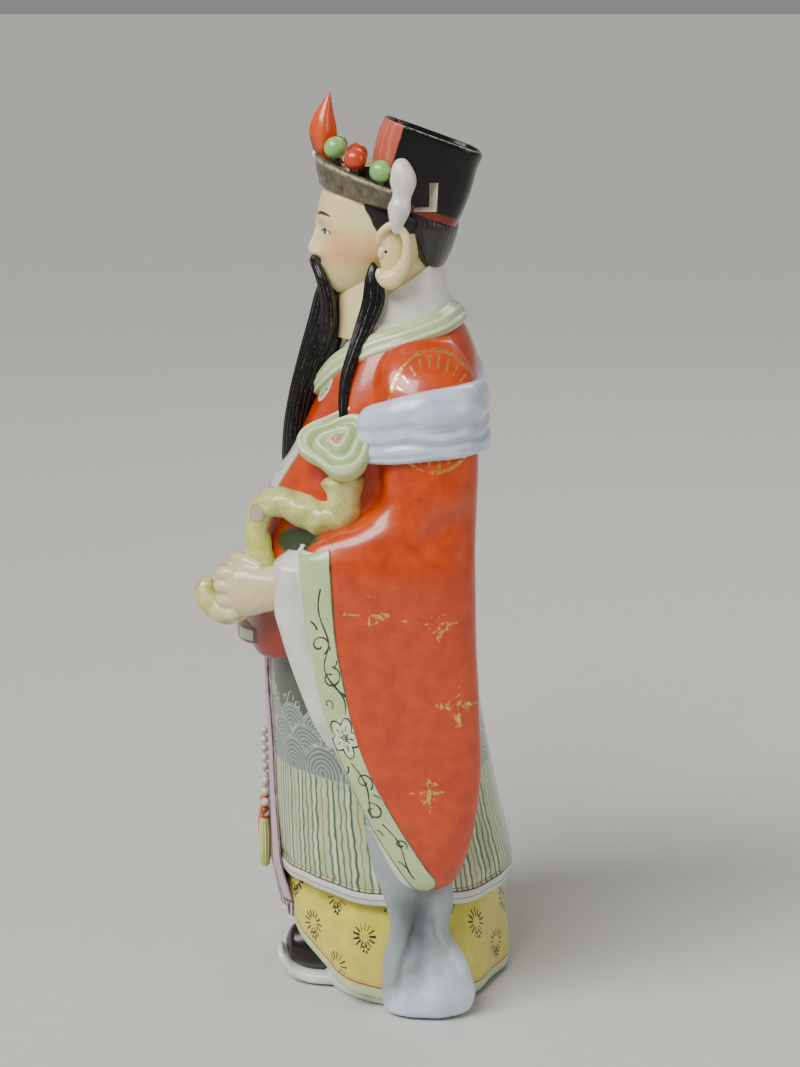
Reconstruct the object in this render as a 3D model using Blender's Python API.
"""Glazed porcelain figure of a bearded court official who holds a ruyi sceptre.

Run it with: blender --background --python part.py

Metres, +Z up. The figure faces -Y and its left hand is at +X. The origin is the middle of the
underside that it stands on. It was pressed, joined and fired as one piece, so it is one solid.

The figure's pose and carving are shares of its height: lengths in the tables below are in parts,
460 of them to the height, so one part is a millimetre at the real size. A side is 1 for the
figure's left and -1 for its right.
"""

import math
from itertools import combinations

import bmesh
import bpy
import numpy as np
from mathutils import Matrix, Vector

HEIGHT = 0.460  # underside to the tip of the flame on the crown
PARTS_IN_HEIGHT = 460
PART = HEIGHT / PARTS_IN_HEIGHT

# The two sockets in the sides of the hat, which took the tenons of its wings.
SOCKET_LENGTH = 0.0090  # front to back
SOCKET_HEIGHT = 0.0125
SOCKET_DEPTH = 0.0095

BEAD_DIAMETER = 0.0112  # the six glazed balls on the crown
BEAD_SINK = 0.0016  # how far a ball sits into its cup
PEARL_DIAMETER = 0.0046  # the strung pearls on the skirt's front

ORANGE = (0.76, 0.13, 0.02)
SHORTEST_EDGE = 1.3  # parts: an edge shorter than this is only a sliver's
LEAST_TURN = 0.7  # cosine of the most that a triangle may turn when a short edge goes
SIDES = (1, -1)

# Level rings of the robes, from the ground up: height, half width, front y, back y.
FOOT_ROWS = [(-4, 67, -44.5, 50), (5, 71, -48.5, 54), (27, 62, -45.2, 51)]
UNDER_ROBE_ROWS = [
    (2, 66, -50, 50),
    (2, 75, -61, 58),
    (10, 77, -63, 60),
    (32, 74, -63, 58),
    (64, 64, -59, 50),
]
SKIRT_ROWS = [
    (57, 66, -60, 54),
    (57, 73, -68, 61),
    (64, 73, -68, 61),
    (92, 68, -68, 54),
    (124, 62, -68, 47),
    (160, 57, -69, 40),
    (196, 53, -68, 35),
]
ROBE_ROWS = [
    (180, 52, -70, 34),
    (180, 57, -78, 37),
    (190, 57.5, -81, 37.5),
    (212, 57, -79.5, 36.5),
    (240, 55, -72.5, 36),
    (262, 53, -63, 37),
    (284, 51, -53, 38.5),
    (302, 49, -47.5, 39.5),
    (322, 46, -41, 41),
    (337, 40, -35, 37.5),
    (348, 29, -29, 32),
    (355, 22, -23, 25),
]
NECK_ROWS = [(338, 29, -32, 33), (352, 25, -29, 28), (360, 22, -26, 24), (384, 18, -16, 19)]

# A sleeve's rings: height, centre x, half thickness, front y, back y.
SLEEVE_ROWS = [
    (66, 75, 2, 5, 17),
    (70, 75, 7, 0, 26),
    (80, 75, 10, -6, 32),
    (108, 73.5, 12.5, -19, 39),
    (134, 71, 13.5, -31, 41),
    (160, 69, 14.5, -40, 40),
    (200, 65, 16.5, -48, 38),
    (234, 62, 17.5, -51, 37.5),
    (243, 60, 17, -46, 37.5),
    (258, 58, 16, -16, 38),
    (270, 57, 16, -8.5, 38.5),
    (300, 52, 16, -10, 39),
    (320, 46.5, 14.5, -11, 37),
    (332, 40.5, 11.5, -8, 33),
    (341, 34, 6, -1, 26),
]
# The white sleeve that shows round the wrist, in the same columns.
INNER_SLEEVE_ROWS = [
    (140, 69, 2, -36, -26),
    (152, 68, 6.5, -43, -24),
    (194, 59, 13, -59, -30),
    (210, 55, 14.3, -63, -34),
    (229, 51.5, 13, -63.5, -37),
    (237, 50, 6, -56, -40),
]

RIGHT_HAND_TURN = 48  # degrees that the right hand is turned towards the belly
PEARL_STRINGS = [(0, 86, 126), (12, 84, 102), (-12, 84, 102)]  # x, low z, high z

# The head's rings are level, and the chin, the foot of the nose and the brow part the face in thirds.
HEAD_ROWS = [
    (359, 6, -32, -20),
    (362, 12, -38.5, -6),
    (368, 16.5, -40, 6),
    (376, 21, -40, 14),
    (386, 25, -40.5, 20),
    (396, 27, -41, 24),
    (406, 27.5, -41.5, 26),
    (416, 26.5, -40.5, 25),
    (424, 22, -34, 20),
    (428, 12, -20, 10),
]
CHIN_Z, NOSE_FOOT_Z, BROW_Z = 361, 379, 397

# The hat's rings, square to its own leaning sides: height above its rim, half width, front y, back y.
HAT_ROWS = [
    (0, 24.5, -14, 28),
    (8, 26, -14, 31.5),
    (20, 27, -13.5, 35.5),
    (32, 28, -11, 38.5),
    (40, 28.5, -8, 41),
]
HAT_RIM_Z = 404  # of the rim where y is 0
HAT_LEAN = -0.36  # fall of the rim and the top, towards the back
SOCKET_CENTRE = (11.5, 410.5)  # y, z

CROWN_ROWS = [  # x, y, z of the band's middle, half height
    (29.5, 3, 406.5, 5),
    (29, -9, 410, 6),
    (24.5, -24, 415, 7),
    (14, -35.5, 419.5, 8),
    (0, -39.6, 422.5, 8.5),
]
BEAD_PLACES = [(13.5, -32), (22, -22), (27.5, -9.5)]  # x, y of each bead's cup on the band


def smooth_rows(rows, steps):
    """The rows with steps - 1 more between each two, on curves that don't overshoot them."""
    rows = np.array(rows, float)
    rise = np.diff(rows, axis=0)
    product = rise[1:] * rise[:-1]
    total = np.where(product > 0, rise[1:] + rise[:-1], 1)
    tangent = np.zeros_like(rows)
    tangent[0], tangent[-1] = rise[0], rise[-1]
    tangent[1:-1] = np.where(product > 0, 2 * product / total, 0)
    found = []
    for i in range(len(rows) - 1):
        for t in np.arange(steps) / steps:
            start = (1 + 2 * t) * (1 - t) ** 2 * rows[i] + t * (1 - t) ** 2 * tangent[i]
            end = t * t * (3 - 2 * t) * rows[i + 1] + t * t * (t - 1) * tangent[i + 1]
            found.append(start + end)
    return np.array(found + [rows[-1]])


def curve_points(points, steps):
    """A smooth curve that passes through points, with steps stretches between each two."""
    points = np.array(points, float)
    ends = np.vstack([2 * points[0] - points[1], points, 2 * points[-1] - points[-2]])
    found = []
    for a, b, c, d in zip(ends, ends[1:], ends[2:], ends[3:]):
        for t in np.arange(steps) / steps:
            bend = (2 * a - 5 * b + 4 * c - d) * t + (3 * b - a - 3 * c + d) * t * t
            found.append((2 * b + (c - a) * t + bend * t) / 2)
    return np.array(found + [points[-1]])


def signed_power(value, power):
    return math.copysign(abs(value) ** power, value)


def oval(segments, squareness):
    """(across, along) on an oval of half sizes 1, from its front round by its + side."""
    power = 2 / squareness
    turns = [2 * math.pi * i / segments for i in range(segments)]
    return [(signed_power(math.sin(a), power), signed_power(-math.cos(a), power)) for a in turns]


def bump(value, centre, width):
    return math.exp(-(((value - centre) / width) ** 2))


def body(name, rings):
    """A closed body skinned over rings of points, with each end filled. Points are in parts."""
    mesh = bpy.data.meshes.new(name)
    made = bmesh.new()
    loops = [[made.verts.new(Vector(point) * PART) for point in ring] for ring in rings]
    for low, high in zip(loops, loops[1:]):
        for i in range(len(low)):
            j = (i + 1) % len(low)
            made.faces.new((low[i], low[j], high[j], high[i]))
    for loop in (loops[0], loops[-1]):
        hub = made.verts.new(sum((corner.co for corner in loop), Vector()) / len(loop))
        for i in range(len(loop)):
            made.faces.new((hub, loop[i], loop[(i + 1) % len(loop)]))
    bmesh.ops.recalc_face_normals(made, faces=made.faces)
    made.to_mesh(mesh)
    made.free()
    return operand(name, mesh)


def operand(name, mesh):
    """An object that the figure is joined from, kept out of the render."""
    made = bpy.data.objects.new(name, mesh)
    made.hide_render = True
    made.display_type = "WIRE"
    bpy.data.collections["operands"].objects.link(made)
    return made


def level_body(name, rows, segments, steps=1, squareness=2.0, shape=None):
    """A body through level ovals. shape(x, y, z, angle) moves a point. Angle 0 is the front."""
    section = oval(segments, squareness)
    rings = []
    for z, half_width, front, back in smooth_rows(rows, steps):
        middle, half_depth = (front + back) / 2, (back - front) / 2
        ring = [(half_width * across, middle + half_depth * along, z) for across, along in section]
        if shape:
            ring = [shape(*p, 2 * math.pi * i / segments) for i, p in enumerate(ring)]
        rings.append(ring)
    return body(name, rings)


def flat_body(name, side, rows, segments, steps=1, squareness=2.4):
    """A hanging flat bag through level ovals, whose long way is front to back."""
    section = oval(segments, squareness)
    rings = []
    for z, centre_x, half_thick, front, back in smooth_rows(rows, steps):
        middle, half_depth = (front + back) / 2, (back - front) / 2
        rings.append([(side * (centre_x + half_thick * s), middle + half_depth * f, z) for s, f in section])
    return body(name, rings)


def swept_body(name, rows, outward=(0, 0, 1), sides=8, steps=3, squareness=2.0):
    """A body along a curve. A row is x, y, z, half width, and half thickness along outward."""
    rows = curve_points(rows, steps)
    centres = rows[:, :3]
    tangents = np.gradient(centres, axis=0)
    section = oval(sides, squareness)
    rings = []
    for centre, tangent, (half_width, half_thick) in zip(centres, tangents, rows[:, 3:]):
        way = Vector(tangent).normalized()
        across = way.cross(Vector(outward)).normalized()
        out = across.cross(way)
        ring = [Vector(centre) + across * (half_width * a) + out * (half_thick * b) for a, b in section]
        rings.append(ring)
    return body(name, rings)


def ball(name, centre, radii, segments=10, rings=6, turn=(0, 0, 0)):
    """An egg-shaped body. turn is in degrees about x, y and z."""
    mesh = bpy.data.meshes.new(name)
    made = bmesh.new()
    bmesh.ops.create_uvsphere(made, u_segments=segments, v_segments=rings, radius=1)
    size = Matrix.Diagonal(Vector(radii)).to_4x4()
    turned = Matrix.LocRotScale(Vector(centre), None, None)
    for axis, angle in zip("XYZ", turn):
        turned = turned @ Matrix.Rotation(math.radians(angle), 4, axis)
    bmesh.ops.transform(made, matrix=Matrix.Scale(PART, 4) @ turned @ size, verts=made.verts)
    made.to_mesh(mesh)
    made.free()
    return operand(name, mesh)


def row_at(rows, z):
    """The row of a level body at height z."""
    rows = smooth_rows(rows, 4)
    rows = rows[np.argsort(rows[:, 0], kind="stable")]
    return [float(np.interp(z, rows[:, 0], rows[:, i])) for i in range(1, rows.shape[1])]


def front_of(rows, x, z):
    """The y of a level body's front at x and z."""
    half_width, front, back = row_at(rows, z)
    middle, half_depth = (front + back) / 2, (back - front) / 2
    return middle - half_depth * math.sqrt(max(0.0, 1 - (x / half_width) ** 2))


def foot():
    """The foot under the robes, with the two shoes that show in front."""
    level_body("foot", FOOT_ROWS, 23)
    for side in SIDES:
        sole = [
            (side * 31, -62, 13, 3, 2),
            (side * 31, -58.5, 8, 9, 5),
            (side * 31, -49, 3.5, 13, 7),
            (side * 33, -36, 1, 14, 7),
            (side * 36, -20, 1, 12, 7),
        ]
        swept_body("sole", sole, sides=10, steps=1, squareness=3)
        upper = [
            (side * 31, -59.5, 14, 4, 3),
            (side * 31, -54, 13.5, 9, 8),
            (side * 32, -42, 14, 12, 12),
            (side * 34, -26, 16, 11, 13),
        ]
        swept_body("shoe", upper, sides=10, steps=1)


def hem_lift(angle):
    """How far the under robe's hem is lifted: over the shoes in front, and little elsewhere."""
    return 21 * math.exp(-((math.sin(angle / 2) / 0.36) ** 4))


def under_robe():
    """The yellow robe, whose hem rises over the shoes and waves a little."""

    def draped(x, y, z, angle):
        near_hem = max(0.0, 1 - (z - 2) / 45)
        wave = 1 + 0.022 * near_hem * math.cos(11 * angle)
        return x * wave, y * wave, z + hem_lift(angle) * near_hem

    level_body("under_robe", UNDER_ROBE_ROWS, 32, shape=draped)


def skirt():
    """The striped skirt, with its thick hem."""

    def draped(x, y, z, angle):
        low = max(0.0, 1 - (z - 57) / 120)
        wave = 1 + 0.016 * low * math.cos(7 * angle)
        return x * wave, y * wave, z + low * (5 * math.cos(angle) + 1.5 * math.cos(7 * angle))

    level_body("skirt", SKIRT_ROWS, 32, shape=draped)


def robe():
    """The red robe's trunk, its hem round the waist, and the neck in its white collar."""

    def draped(x, y, z, angle):
        low = max(0.0, 1 - (z - 180) / 30)
        return x, y, z + low * 3 * math.cos(5 * angle)

    level_body("robe", ROBE_ROWS, 24, shape=draped)
    level_body("neck", NECK_ROWS, 16)


def sleeves():
    """The hanging sleeves, and the white sleeves inside them at the wrists."""
    for side in SIDES:
        flat_body("sleeve", side, SLEEVE_ROWS, 16, squareness=2.3)
        flat_body("inner_sleeve", side, INNER_SLEEVE_ROWS, 10)


def sash():
    """The blue ribbon round the back and both upper arms, and the two ends that reach the ground."""
    left = [
        (47, -17, 296, 10, 4),
        (55, -14, 297, 14, 5.5),
        (63.5, -3, 300, 16, 6.5),
        (66, 12, 303, 17, 6.5),
        (60, 27, 305, 18, 6.5),
        (44, 35.5, 305, 18, 6),
        (23, 38, 303, 17, 5.5),
    ]
    middle = [(0, 38.8, 302, 16.5, 5)]
    right = [(-x, y, z, width, thick) for x, y, z, width, thick in reversed(left)]
    rows = curve_points(left + middle + right, 1)
    rings = []
    for (x, y, z, half_width, half_thick), tangent in zip(rows, np.gradient(rows[:, :3], axis=0)):
        way = Vector(tangent).normalized()
        out = way.cross(Vector((0, 0, 1))).normalized()
        folds = [(a, b * (1 + 0.35 * math.cos(3 * math.pi * a))) for a, b in oval(10, 2.6)]
        ring = [Vector((x, y, z)) + Vector((0, 0, half_width * a)) + out * (half_thick * b) for a, b in folds]
        rings.append(ring)
    body("sash", rings)
    for side in SIDES:
        sash_end(side)


def sash_end(side):
    """One end of the sash: it narrows under the sleeve and spreads on the ground."""
    rows = [  # z, centre x, half thickness, front y, back y
        (-4, 74, 10, -6, 32),
        (2, 76, 10.5, -8, 36),
        (12, 77, 10.5, -9, 38),
        (28, 76, 9.5, -9, 33),
        (46, 75, 8, -5, 25),
        (60, 73, 8, -8, 27),
        (78, 71, 8, -14, 26),
        (98, 68, 7, -18, 20),
    ]
    section = oval(14, 2.2)
    rings = []
    for z, centre_x, half_thick, front, back in rows:
        middle, half_depth = (front + back) / 2, (back - front) / 2
        hollow = [0.34 * bump(f, 0.1, 0.35) * bump(z, 46, 26) for _, f in section]
        ring = [
            (side * (centre_x + half_thick * s * (1 - h if s > 0 else 1)), middle + half_depth * f, z)
            for (s, f), h in zip(section, hollow)
        ]
        rings.append(ring)
    body("sash_end", rings)


def collar():
    """The green collar, from the nape over the shoulders and down to the chest."""
    left = [
        (4, -43, 309, 4, 3),
        (13, -39, 317, 5, 3),
        (26, -29.5, 328, 6, 3),
        (34, -13, 337, 6.5, 3),
        (35, 5, 343, 6.5, 3),
        (26, 21, 348, 6.5, 3),
    ]
    back = [(0, 29, 351, 6.5, 3)]
    right = [(-x, y, z, width, thick) for x, y, z, width, thick in reversed(left)]
    rows = curve_points(left + back + right, 1)
    centre = Vector((0, 0, 318))
    rings = []
    for row, tangent in zip(rows, np.gradient(rows[:, :3], axis=0)):
        way = Vector(tangent).normalized()
        out = (Vector(row[:3]) - centre).normalized()
        across = way.cross(out).normalized()
        out = across.cross(way)
        rings.append([Vector(row[:3]) + across * (row[3] * a) + out * (row[4] * b) for a, b in oval(8, 2.6)])
    body("collar", rings)


def head():
    """The head with its nose and ears, and the hair below the hat."""
    level_body("head", HEAD_ROWS, 18)
    nose_tip_z = NOSE_FOOT_Z + 3
    nose = [
        (0, -39, BROW_Z, 2, 2),
        (0, -42, BROW_Z - 6, 2.2, 2.6),
        (0, -46, nose_tip_z, 3.6, 3.4),
        (0, -44, NOSE_FOOT_Z - 0.5, 3, 2),
    ]
    swept_body("nose", nose, outward=(0, -1, 0), sides=6, steps=1)
    for side in SIDES:
        ear(side)
    hair = [(371, 8, 12, 20), (375, 16, 8, 23), (384, 22, 2, 27), (394, 24.5, -4, 29.5), (402, 24, -6, 28)]
    level_body("hair", hair, 14)


def ear(side):
    """A long ear with a rolled rim and a heavy lobe."""
    ball("ear_bowl", (side * 27.5, -5.5, 383), (3.2, 6.5, 11.5), 8, 5)
    rim = [
        (side * 29, -10, 388, 1.6, 1.6),
        (side * 30, -7, 395, 2.2, 2.2),
        (side * 31.5, -1, 395, 2.6, 2.4),
        (side * 32.5, 3, 387, 2.8, 2.4),
        (side * 31.5, 1, 376, 3.2, 2.6),
        (side * 29.5, -5.5, 368.5, 5.0, 3.4),
        (side * 28, -10.5, 371.5, 2.2, 2),
    ]
    swept_body("ear_rim", rim, outward=(side, 0, 0), sides=6, steps=1)


def hat_point(y, above_rim):
    """The z of a point of the hat, above its leaning rim."""
    return HAT_RIM_Z + above_rim + HAT_LEAN * y


def hat():
    """The tall black hat. It leans back, and its top is a little hollow inside a raised edge."""
    section = oval(20, 3.6)
    rings = []
    for above, half_width, front, back in HAT_ROWS:
        middle, half_depth = (front + back) / 2, (back - front) / 2
        ring = [(half_width * a, middle + half_depth * f) for a, f in section]
        rings.append([(x, y, hat_point(y, above)) for x, y in ring])
    top_above, top_half_width, top_front, top_back = HAT_ROWS[-1]
    middle, half_depth = (top_front + top_back) / 2, (top_back - top_front) / 2
    for inset, rise in ((0.95, 1.0), (0.89, -0.8)):
        ring = [(top_half_width * inset * a, middle + half_depth * inset * f) for a, f in section]
        rings.append([(x, y, hat_point(y, top_above + rise)) for x, y in ring])
    body("hat", rings)
    ball("crown_cap", (0, -13, 405), (26, 27, 22), 12, 7)


def hat_half_width(y, z):
    """How far the hat's side is from its middle plane at y and z."""
    above = z - HAT_RIM_Z - HAT_LEAN * y
    return row_at(HAT_ROWS, above)[0]


def socket_cutters():
    """Square sockets for the hat's wings, open at the sides."""
    y, z = SOCKET_CENTRE
    overrun = SOCKET_DEPTH
    floor_x = hat_half_width(y, z) * PART - SOCKET_DEPTH
    for side in SIDES:
        mesh = bpy.data.meshes.new("socket")
        made = bmesh.new()
        bmesh.ops.create_cube(made, size=1)
        size = Matrix.Diagonal((SOCKET_DEPTH + overrun, SOCKET_LENGTH, SOCKET_HEIGHT, 1))
        centre = Vector((side * (floor_x + (SOCKET_DEPTH + overrun) / 2), y * PART, z * PART))
        bmesh.ops.transform(made, matrix=Matrix.Translation(centre) @ size, verts=made.verts)
        made.to_mesh(mesh)
        made.free()
        cutter(made_name="socket_cutter", mesh=mesh)


def cutter(made_name, mesh):
    """An object that is cut away from the figure."""
    made = bpy.data.objects.new(made_name, mesh)
    made.hide_render = True
    made.display_type = "WIRE"
    bpy.data.collections["cutters"].objects.link(made)


def crown_rows():
    """The whole band, from the left ear round the front to the right."""
    right = [(-x, y, z, high) for x, y, z, high in reversed(CROWN_ROWS[:-1])]
    return curve_points(CROWN_ROWS + right, 2)


def crown():
    """The crown's band, its jewel and flame, its balls and the white drops over the ears."""
    rings = []
    rows = crown_rows()
    for row, tangent in zip(rows, np.gradient(rows[:, :3], axis=0)):
        out = Vector(tangent).normalized().cross(Vector((0, 0, 1))).normalized() * -1
        centre = Vector(row[:3])
        section = [(b, a) for a, b in oval(6, 3.2)]
        rings.append([centre + out * (2.2 * b + 1.4 * a) + Vector((0, 0, row[3] * a)) for b, a in section])
    body("crown_band", rings)
    ball("pearl", (0, -42, 429), (2.4, 2.2, 2.4), 8, 5)
    flame = [
        (0, -37, 424, 3.4, 3),
        (0, -37.6, 431, 5.2, 5),
        (0, -38.2, 437, 7, 6.6),
        (0, -38.2, 443, 6.8, 6.6),
        (0, -37.4, 449, 4.8, 4.6),
        (0, -36, 455, 2.6, 2.4),
        (0, -35.4, PARTS_IN_HEIGHT, 0.5, 0.5),
    ]
    swept_body("flame", flame, outward=(0, -1, 0), sides=8, steps=1)
    places = [(side * x, y) for side in SIDES for x, y in BEAD_PLACES]
    for x, y in places:
        crown_bead(x, y)
    for side in SIDES:
        drop = [
            (side * 28.5, -1, 428.5, 2.4, 2),
            (side * 30, 0.5, 424.5, 5, 4.4),
            (side * 31, 1.5, 418, 6.4, 5.4),
            (side * 31.2, 0.8, 410.5, 5, 4.4),
            (side * 32, -0.5, 404, 5.4, 5),
            (side * 32, -1.5, 397.5, 3.6, 3.4),
            (side * 31.5, -1.5, 392, 1.8, 1.8),
        ]
        swept_body("drop", drop, outward=(side, 0, 0), sides=8, steps=1)


def crown_bead(x, y):
    """One glazed ball, held by a short cup on the crown's band."""
    band = crown_rows()
    nearest = band[np.argmin(np.hypot(band[:, 0] - x, band[:, 1] - y))]
    rim_z = nearest[2] + nearest[3]
    radius = BEAD_DIAMETER / 2 / PART
    cup_top = rim_z + 2.0
    cup = [
        (x * 0.8, y * 0.8 - 2.6, rim_z - 12, 4.5, 4.5),
        (x, y, rim_z - 3, 3.2, 3.2),
        (x, y, cup_top, 2.6, 2.6),
    ]
    swept_body("cup", cup, outward=(0, -1, 0), sides=6, steps=1)
    ball("bead", (x, y, cup_top + radius - BEAD_SINK / PART), (radius, radius, radius), 8, 6)


def beard():
    """The moustache, the long front beard and the two side locks, all standing off the robe."""
    front = [  # x, y, z, half width, half depth
        (0, -35, 368, 9, 5),
        (0, -36.5, 356, 13, 7.5),
        (0, -38, 342, 14, 9.5),
        (0, -43, 326, 13, 9),
        (0, -49, 309, 11.5, 7.5),
        (0, -53.5, 292, 10, 6.2),
        (0, -55.5, 275, 8.5, 5.4),
        (0, -55.5, 258, 6, 4.2),
        (0, -55, 252, 2.5, 2),
    ]
    swept_body("beard", front, outward=(0, -1, 0), sides=12, steps=1)
    for side in SIDES:
        moustache = [
            (side * 0.5, -43.5, 377, 1.6, 1.6),
            (side * 6, -42.5, 375.5, 2.4, 2.2),
            (side * 11.5, -39, 369, 3.4, 2.8),
            (side * 13.5, -36, 358, 4.2, 3.4),
            (side * 12, -36, 346, 4, 4),
        ]
        swept_body("moustache", moustache, outward=(0, -1, 0), sides=6, steps=1)
        lock = [
            (side * 24.5, -13.5, 377, 1.8, 1.8),
            (side * 26.5, -13, 369, 4.4, 3.2),
            (side * 28, -13.2, 359, 5.4, 3.6),
            (side * 30, -17, 348, 4.8, 3.4),
            (side * 34, -22, 336, 3.6, 3),
            (side * 38.5, -26.5, 322, 3.0, 2.6),
            (side * 43, -28, 308, 2.6, 2.4),
            (side * 45, -27, 300, 2.2, 2),
        ]
        swept_body("side_lock", lock, outward=(side, 0, 0), sides=6, steps=1)


def hands():
    """The left hand closes on the sceptre's stem, and the right one on the belt before the belly."""
    # Each place is x, y, z along the hand. The right hand's own shift and turn come after.
    for side in SIDES:
        palm = [
            (51, -56, 219, 10, 10),
            (49, -66, 217, 10.5, 11.5),
            (46, -74, 216, 11, 13.5),
            (44, -82, 215, 10, 13),
            (43, -88, 214, 7, 10),
        ]
        swept_body("palm", placed(palm, side), sides=10, steps=1, squareness=2.4)
        for finger in range(4):
            z = 224.5 - 7 * finger
            reach = 90 - 1.2 * abs(finger - 1)
            knuckle = [
                (50, -reach + 8, z, 3.6, 3.8),
                (46, -reach, z, 3.8, 3.8),
                (38, -reach + 1, z - 0.5, 3.6, 3.6),
                (33, -reach + 9, z - 0.5, 3.2, 3.4),
                (36, -reach + 16, z, 2.4, 2.6),
            ]
            swept_body("finger", placed(knuckle, side), sides=6, steps=1)
        thumb = [
            (50, -68, 226, 3.6, 4),
            (45, -77, 230, 4, 3.8),
            (37, -83, 230, 3.8, 3.4),
            (33, -84, 229, 2.4, 2.4),
        ]
        swept_body("thumb", placed(thumb, side), sides=6, steps=1)


def placed(rows, side):
    """Rows of the left hand as they are, or turned inwards and drawn back for the right one."""
    if side > 0:
        return rows
    turn = math.radians(RIGHT_HAND_TURN)
    wrist_x, wrist_y = -51, -54
    found = []
    for x, y, z, half_width, half_thick in rows:
        dx, dy = -x - wrist_x, y - wrist_y
        new_x = wrist_x + dx * math.cos(turn) - dy * math.sin(turn)
        new_y = wrist_y + dx * math.sin(turn) + dy * math.cos(turn)
        found.append((new_x, new_y - 1, z - 7, half_width, half_thick))
    return found


def sceptre():
    """The ruyi sceptre: a budded tail, an S-shaped stem and a cloud-shaped head."""
    stem = [
        (30, -100, 218.5, 4.6, 4.6),
        (31, -99, 211, 6.4, 6.2),
        (34, -94.5, 204, 6.4, 6.2),
        (40, -85, 202, 5.6, 5.6),
        (43, -74, 211, 5.4, 5.4),
        (42.5, -69.5, 226, 6.8, 6.4),
        (41, -70.5, 238, 6.4, 6),
        (39, -71.5, 249, 5.6, 5.4),
        (38, -68.5, 258.5, 6.6, 6.4),
        (37.5, -60, 262, 7.6, 7.2),
        (38, -49, 257.5, 8.2, 7.6),
        (41.5, -38, 254.5, 8.6, 8),
        (47, -28.5, 256.5, 9.4, 8.6),
        (51, -26, 266, 10.5, 9.5),
        (53, -28, 277, 13, 12),
    ]
    swept_body("stem", stem, outward=(1, 0.1, 0.05), sides=8, steps=1)
    facing = Vector((0.67, -0.22, 0.71)).normalized()
    right = Vector((0.0, 0.45, 0.89)).cross(facing).normalized()
    upward = facing.cross(right)
    centre = Vector((54, -30.5, 291))
    layers = [  # height over the middle, share of the outline's radius
        (-11, 0.5),
        (-7, 0.84),
        (-1, 1.0),
        (3, 0.97),
        (4.8, 0.86),
        (3.2, 0.72),
        (3.6, 0.45),
        (5.4, 0.24),
    ]
    rings = []
    for depth, share in layers:
        ring = []
        for i in range(15):
            angle = 2 * math.pi * i / 15
            radius = cloud_radius(angle) * share
            flat = right * (radius * 1.04 * math.sin(angle)) + upward * (radius * math.cos(angle))
            ring.append(centre + flat + facing * depth)
        rings.append(ring)
    body("sceptre_head", rings)


def cloud_radius(angle):
    """The outline of the sceptre's head: a lobe up, a lobe each side and a flatter foot. Angle 0 is up."""
    return 19 * (1 + 0.13 * math.cos(3 * angle) + 0.05 * math.cos(angle))


def belt():
    """The stiff hoop belt, which stands off the robe and hangs lower in front, and the knot above it."""
    half = [
        (0, -82.5, 185, 5, 3),
        (26, -76.5, 187, 5, 3),
        (47, -56, 191, 5, 3),
        (58, -22, 196, 5, 3),
        (57, 12, 198, 5, 3),
        (36, 33, 199, 5, 3),
    ]
    back = [(0.3, 36.5, 199.2, 5, 3)]
    loop = half + back + [(-x, y, z, high, thick) for x, y, z, high, thick in reversed(half[1:])]
    rows = curve_points(loop + loop[:1], 1)
    rings = []
    for row, tangent in zip(rows[:-1], np.gradient(rows[:, :3], axis=0)):
        out = Vector(tangent).normalized().cross(Vector((0, 0, 1))).normalized()
        centre = Vector(row[:3])
        rings.append([centre + Vector((0, 0, row[3] * a)) + out * (row[4] * b) for a, b in oval(6, 3.2)])
    ring_body("belt", rings)
    ball("knot_bow", (-12, -64, 258), (12, 6.5, 6.5), 8, 6)


def ring_body(name, rings):
    """A body skinned over rings that close on each other, as a hoop's do."""
    mesh = bpy.data.meshes.new(name)
    made = bmesh.new()
    loops = [[made.verts.new(Vector(point) * PART) for point in ring] for ring in rings]
    for low, high in zip(loops, loops[1:] + loops[:1]):
        for i in range(len(low)):
            j = (i + 1) % len(low)
            made.faces.new((low[i], low[j], high[j], high[i]))
    bmesh.ops.recalc_face_normals(made, faces=made.faces)
    made.to_mesh(mesh)
    made.free()
    return operand(name, mesh)


def front_ribbons():
    """Two ribbons from the belt down the skirt, with strung pearls and tassels between them."""
    for side in SIDES:
        places = [(5, 184), (7, 160), (11, 130), (16, 100), (22, 74)]
        rows = [(side * x, front_of(SKIRT_ROWS, x, z) - 1.6, z, 6, 2) for x, z in places]
        rows[0] = (side * 5, -79, 186, 6, 2.4)
        rows += [(side * 28, -66.5, 54, 6.5, 2.2), (side * 34, -62.5, 38, 7, 2.2)]
        swept_body("front_ribbon", rows, outward=(0.25 * side, -1, 0), sides=6, steps=1, squareness=3)
    tassel("tassel", 0, 88, 58, 4.4)
    tassel("tassel", 12, 86, 56, 4.0)
    tassel("tassel", -12, 86, 56, 4.0)
    radius = PEARL_DIAMETER / 2 / PART
    for x, low, high in PEARL_STRINGS:
        places = [low, (low + high) / 2, high]
        rows = [(x, front_of(SKIRT_ROWS, x, z) - 0.6 * radius, z, 0.9 * radius, 0.9 * radius) for z in places]
        swept_body("pearls", rows, outward=(0, -1, 0), sides=6, steps=1)


def tassel(name, x, top, low, half_width):
    """A tassel that hangs from its knot on the skirt's front."""
    places = [(top, 0.5), (top - 5, 0.85), (top - 14, 1.0), (low + 6, 0.9), (low, 0.45)]
    rows = [(x, front_of(SKIRT_ROWS, x, z) - 2.4, z, half_width * share, 3.2 * share) for z, share in places]
    swept_body(name, rows, outward=(0, -1, 0), sides=6, steps=1)


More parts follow.
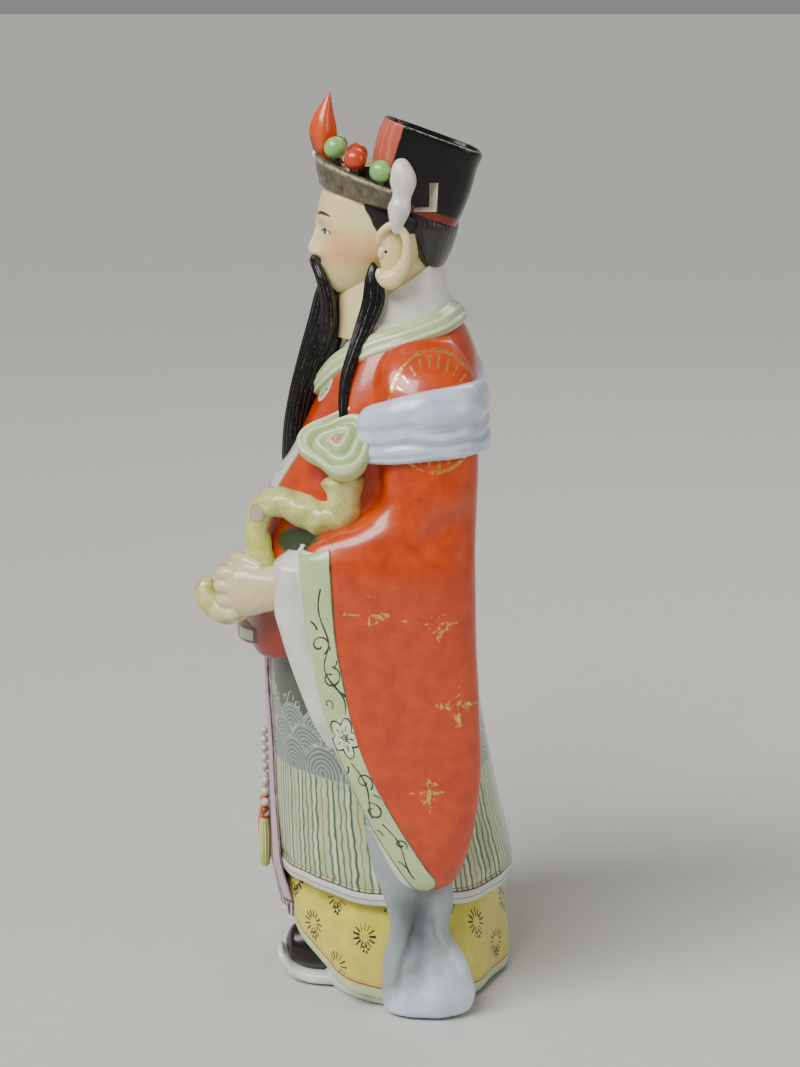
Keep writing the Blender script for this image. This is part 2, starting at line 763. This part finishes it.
def joined_surface():
    """The outer skin of all operands together, with the sockets and the flat underside cut."""
    base = bpy.data.objects["robe"]
    bpy.data.collections["operands"].objects.unlink(base)
    bpy.context.scene.collection.objects.link(base)
    for operation, collection in (("UNION", "operands"), ("DIFFERENCE", "cutters")):
        step = base.modifiers.new(collection, "BOOLEAN")
        step.operation = operation
        step.operand_type = "COLLECTION"
        step.collection = bpy.data.collections[collection]
    shown = base.evaluated_get(bpy.context.evaluated_depsgraph_get())
    mesh = bpy.data.meshes.new_from_object(shown)
    for used in list(bpy.data.objects):
        bpy.data.objects.remove(used)
    made = bmesh.new()
    made.from_mesh(mesh)
    keep_outer_skin(made)
    bmesh.ops.triangulate(made, faces=made.faces)
    turn_shared_diagonals(made)
    shed_slivers(made)
    made.to_mesh(mesh)
    made.free()
    return mesh


def keep_outer_skin(made):
    """Fills the sealed pockets between operands: every island of the surface goes but the largest."""
    left = set(made.faces)
    islands = []
    while left:
        island = set()
        edge_of_island = [left.pop()]
        while edge_of_island:
            face = edge_of_island.pop()
            island.add(face)
            near = {other for edge in face.edges for other in edge.link_faces} & left
            left -= near
            edge_of_island.extend(near)
        islands.append(island)
    islands.sort(key=len)
    inner = [face for island in islands[:-1] for face in island]
    bmesh.ops.delete(made, geom=inner, context="FACES")


def turn_shared_diagonals(made):
    """Where two flat faces were cut between the same corners, one of them is cut the other way."""
    made.normal_update()
    for edge in [edge for edge in made.edges if len(edge.link_faces) > 2]:
        pair = max(combinations(edge.link_faces, 2), key=lambda faces: faces[0].normal.dot(faces[1].normal))
        first, second = edge.verts
        loop = next(loop for loop in pair[0].loops if loop.edge is edge)
        if loop.vert is second:
            first, second = second, first
        tip = next(vertex for vertex in pair[0].verts if vertex not in edge.verts)
        other_tip = next(vertex for vertex in pair[1].verts if vertex not in edge.verts)
        bmesh.ops.delete(made, geom=list(pair), context="FACES_ONLY")
        made.faces.new((first, other_tip, tip))
        made.faces.new((other_tip, second, tip))


def neighbours(vertex):
    return {edge.other_vert(vertex) for edge in vertex.link_edges}


def is_cut_corner(vertex):
    """Whether a vertex belongs to the flat underside or to a socket, whose sizes stay exact."""
    y, z = SOCKET_CENTRE
    by_socket = abs(vertex.co.y - y * PART) < SOCKET_LENGTH / 2 + 0.0002
    by_socket = by_socket and abs(vertex.co.z - z * PART) < SOCKET_HEIGHT / 2 + 0.0002
    return by_socket or vertex.co.z < 0.0002


def may_collapse(edge):
    """Whether drawing the edge's ends together keeps the surface closed and turns no triangle over."""
    first, second = edge.verts
    if len(edge.link_faces) != 2 or len(neighbours(first) & neighbours(second)) != 2:
        return False
    if is_cut_corner(first) or is_cut_corner(second):
        return False
    middle = (first.co + second.co) / 2
    for end in edge.verts:
        for face in end.link_faces:
            if edge in face.edges:
                continue
            corners = [middle if vertex is end else vertex.co for vertex in face.verts]
            turned = (corners[1] - corners[0]).cross(corners[2] - corners[0])
            if turned.length == 0 or turned.normalized().dot(face.normal) < LEAST_TURN:
                return False
    return True


def shed_slivers(made):
    """Collapses the short edges that are left where operands cross."""
    while True:
        made.normal_update()
        short = [edge for edge in made.edges if edge.calc_length() < SHORTEST_EDGE * PART]
        short.sort(key=lambda edge: edge.calc_length())
        taken = set()
        chosen = []
        for edge in short:
            around = set(edge.verts) | neighbours(edge.verts[0]) | neighbours(edge.verts[1])
            if not around & taken and may_collapse(edge):
                chosen.append(edge)
                taken |= around
        if not chosen:
            return
        bmesh.ops.collapse(made, edges=chosen)


def ground_cutter():
    """A block below the ground, which leaves the underside flat."""
    mesh = bpy.data.meshes.new("ground")
    made = bmesh.new()
    bmesh.ops.create_cube(made, size=HEIGHT)
    bmesh.ops.translate(made, verts=made.verts, vec=(0, 0, -HEIGHT / 2))
    made.to_mesh(mesh)
    made.free()
    cutter("ground_cutter", mesh)


def porcelain():
    """The body's overall finish: orange enamel under a clear glaze."""
    material = bpy.data.materials.new("porcelain")
    material.use_nodes = True
    shader = material.node_tree.nodes["Principled BSDF"]
    shader.inputs["Base Color"].default_value = (*ORANGE, 1)
    shader.inputs["Roughness"].default_value = 0.2
    shader.inputs["Metallic"].default_value = 0.0
    return material


def main():
    for old in list(bpy.data.objects):
        bpy.data.objects.remove(old)
    for name in ("operands", "cutters"):
        bpy.context.scene.collection.children.link(bpy.data.collections.new(name))
    foot()
    under_robe()
    skirt()
    robe()
    sleeves()
    sash()
    collar()
    head()
    hat()
    crown()
    beard()
    hands()
    sceptre()
    belt()
    front_ribbons()
    ground_cutter()
    socket_cutters()
    figure = bpy.data.objects.new("figure", joined_surface())
    bpy.context.scene.collection.objects.link(figure)
    figure.data.materials.clear()
    figure.data.materials.append(porcelain())


main()
